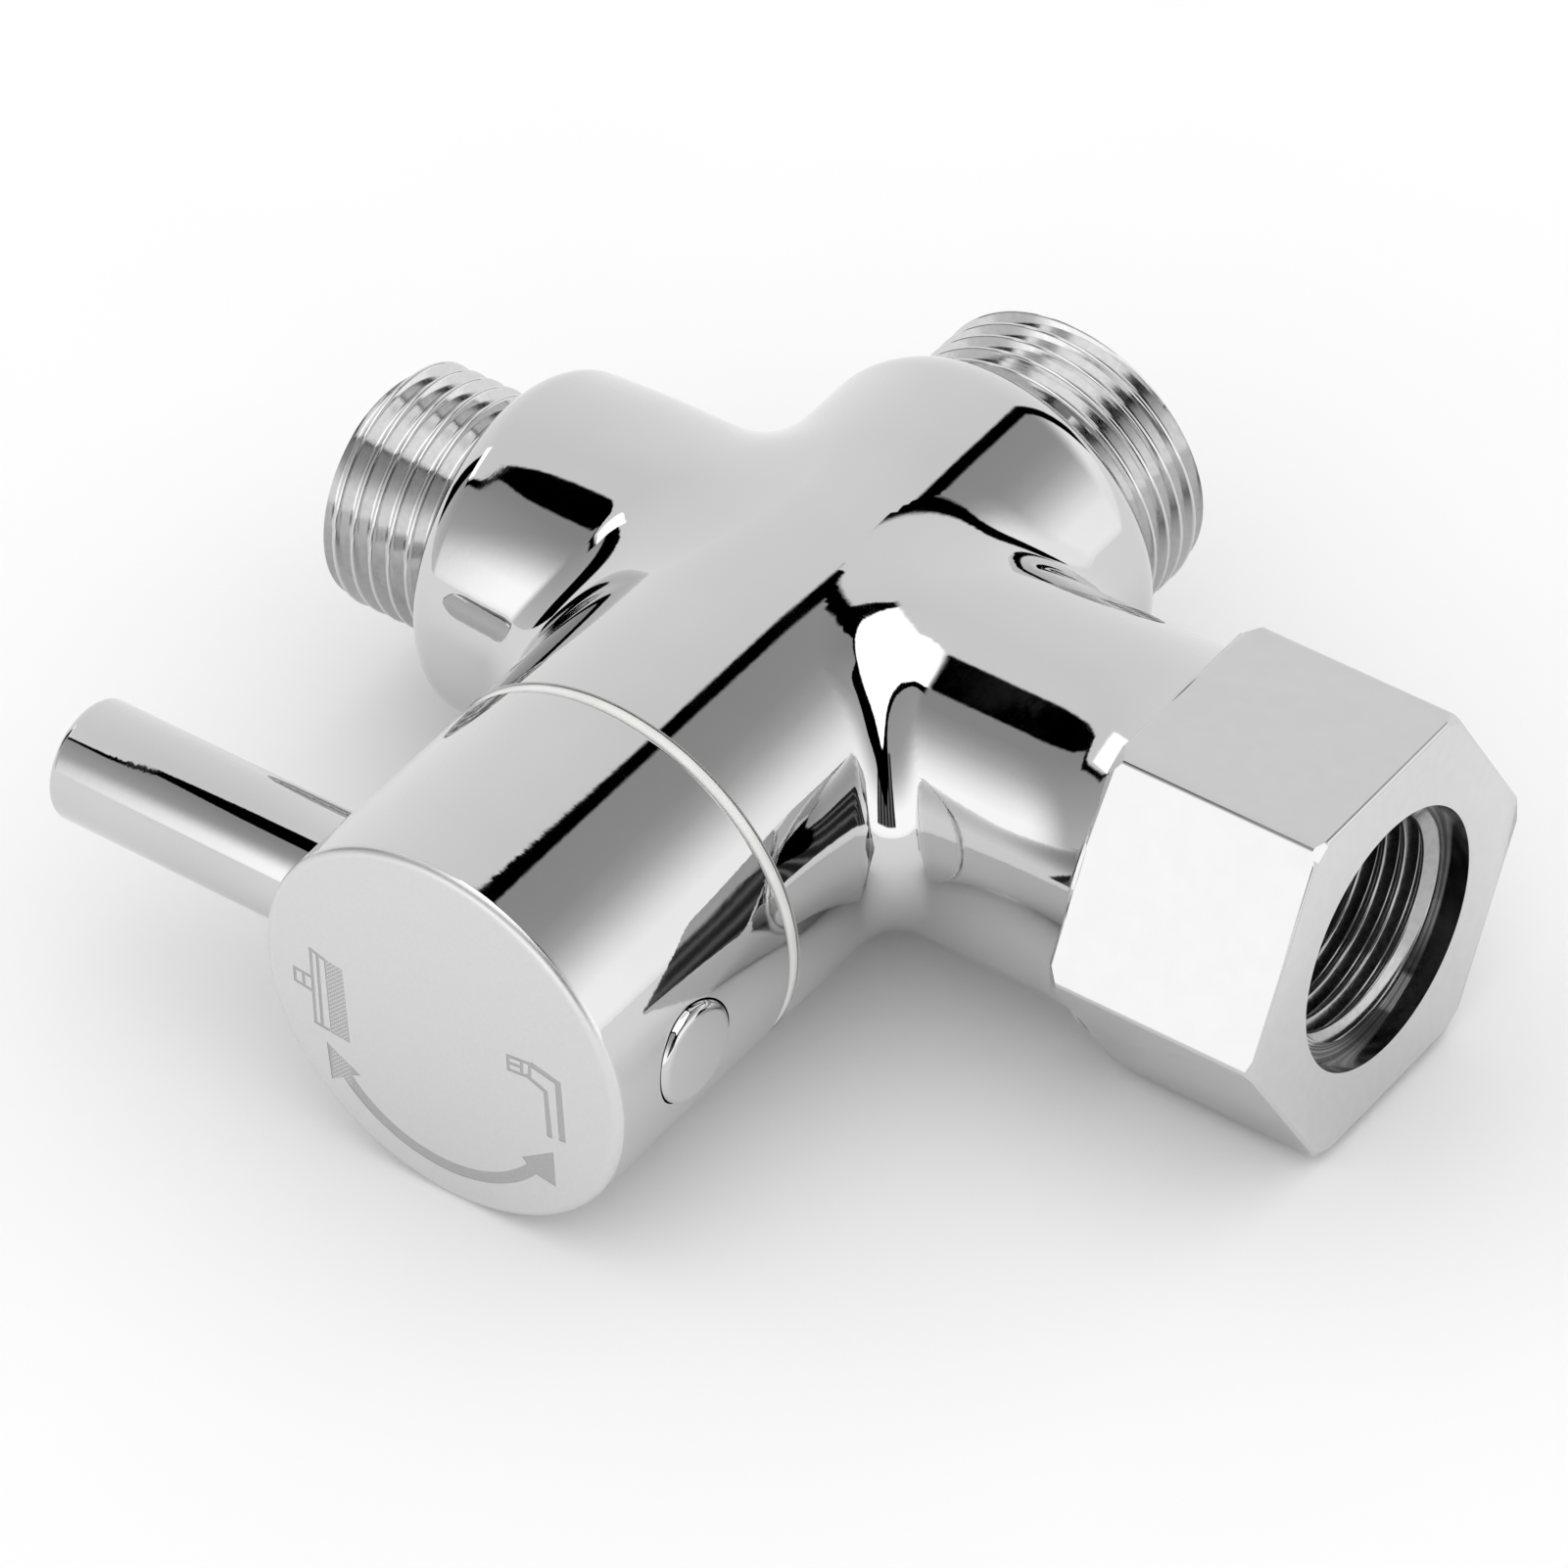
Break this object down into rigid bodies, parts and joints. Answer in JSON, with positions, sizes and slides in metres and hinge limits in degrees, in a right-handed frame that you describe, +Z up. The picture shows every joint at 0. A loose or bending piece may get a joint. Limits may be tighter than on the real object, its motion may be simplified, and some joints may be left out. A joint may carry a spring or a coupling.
{
  "type": "shower diverter valve",
  "caption": "Chromed cross-shaped shower diverter valve with a hexagonal female inlet, male-threaded outlets, and a round knob with a rod lever that turns a ceramic cartridge.",
  "frame": {"origin": "centre of the mouth of the inlet's female thread, on the axis of the arms", "axes": "+X out of the inlet along the axis of the arms, +Y along the barrel to the large male outlet, with the knob at the -Y end, +Z up"},
  "size_m": [0.0966, 0.0843, 0.0344],
  "materials": {
    "chrome_plate": "polished chrome plate, satin on the knob's front face and on the threads",
    "white_plastic": "moulded, smooth",
    "turned_brass": "turned, bare",
    "black_rubber": "moulded",
    "spring_steel": "plain",
    "grey_plastic": "moulded, slightly waxy",
    "white_ceramic": "lapped ceramic, opaque"
  },
  "bodies": {
    "valve": {"valve_body": "chrome_plate", "glide_ring": "white_plastic", "gland_nut": "turned_brass", "cartridge_housing": "turned_brass", "thrust_washer": "grey_plastic", "fixed_disc": "white_ceramic", "seat_seal": "black_rubber", "housing_oring": "black_rubber", "locating_pins": "spring_steel", "inlet_washer": "black_rubber"},
    "handle": {"knob": "chrome_plate", "lever_rod": "chrome_plate", "plug_button": "chrome_plate", "set_screw": "spring_steel", "spindle": "turned_brass", "spindle_oring_front": "black_rubber", "spindle_oring_rear": "black_rubber", "circlip": "spring_steel", "disc_driver": "grey_plastic", "moving_disc": "white_ceramic"}
  },
  "joints": [
    {"name": "knob_turn", "type": "hinge", "parent": "valve", "child": "handle", "pos_m": [-0.05155, 0, 0], "axis": [0, -1, 0], "range_deg": [0, 180]}
  ]
}
